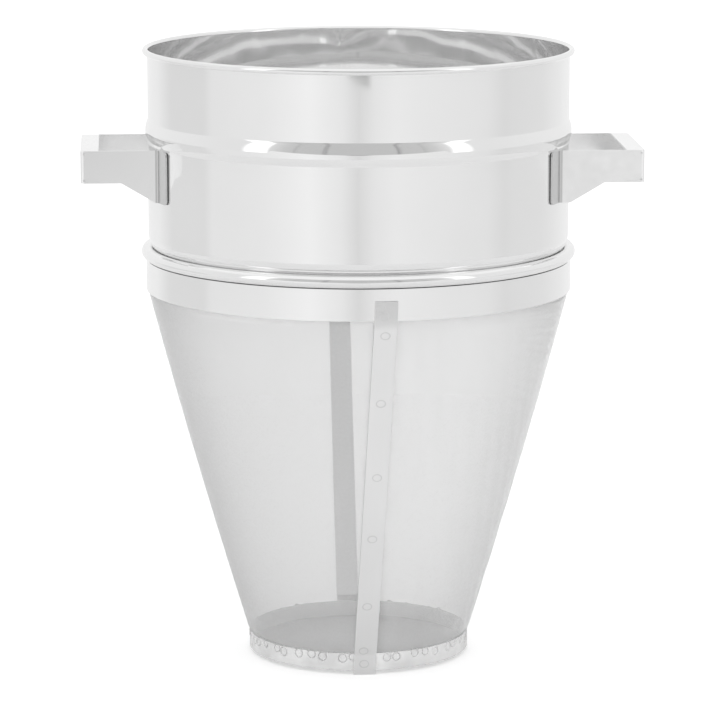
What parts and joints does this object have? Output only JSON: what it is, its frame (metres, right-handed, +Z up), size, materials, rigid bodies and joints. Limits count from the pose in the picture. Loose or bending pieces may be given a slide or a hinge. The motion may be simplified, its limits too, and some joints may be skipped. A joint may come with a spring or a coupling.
{
  "type": "double sieve strainer",
  "caption": "Double honey strainer: a steel drum sieve with two box handles stands in the rolled ring of a fine wire-mesh cone with seam strips and a flat mesh base.",
  "frame": {"origin": "on the common axis of the two sieves, at the height of the lower ends of the seam strips that the strainer stands on", "axes": "+Z up along the common axis, +X towards the right handle, -Y towards the front seam strip"},
  "size_m": [0.322, 0.2528, 0.3578],
  "materials": {
    "drum_steel": "mirror-polished stainless steel",
    "handle_steel": "bright-annealed stainless sheet, satin",
    "band_steel": "polished stainless strip, slightly hammered",
    "strip_steel": "bright stainless strip",
    "fine_mesh": "fine woven stainless wire",
    "coarse_mesh": "coarse woven stainless wire",
    "weld_marks": "electrode marks of spot welds"
  },
  "bodies": {
    "fine_sieve": {"collar": "drum_steel", "clamp_ring": "band_steel", "cone_mesh_right": "fine_mesh", "cone_mesh_left": "fine_mesh", "front_strip_outer": "strip_steel", "front_strip_inner": "strip_steel", "rear_strip_outer": "strip_steel", "rear_strip_inner": "strip_steel", "front_strip_spot_welds": "weld_marks", "rear_strip_spot_welds": "weld_marks", "base_band": "band_steel", "base_mesh": "fine_mesh", "base_inner_ring": "band_steel", "base_spot_welds": "weld_marks"},
    "coarse_sieve": {"drum_shell": "drum_steel", "coarse_mesh": "coarse_mesh", "coarse_mesh_ring": "band_steel", "coarse_ring_spot_welds": "weld_marks", "handle_right": "handle_steel", "handle_left": "handle_steel"}
  },
  "joints": [
    {"name": "coarse_sieve_lift", "type": "slide", "parent": "fine_sieve", "child": "coarse_sieve", "axis": [0, 0, 1], "range_m": [0, 0.06]}
  ]
}
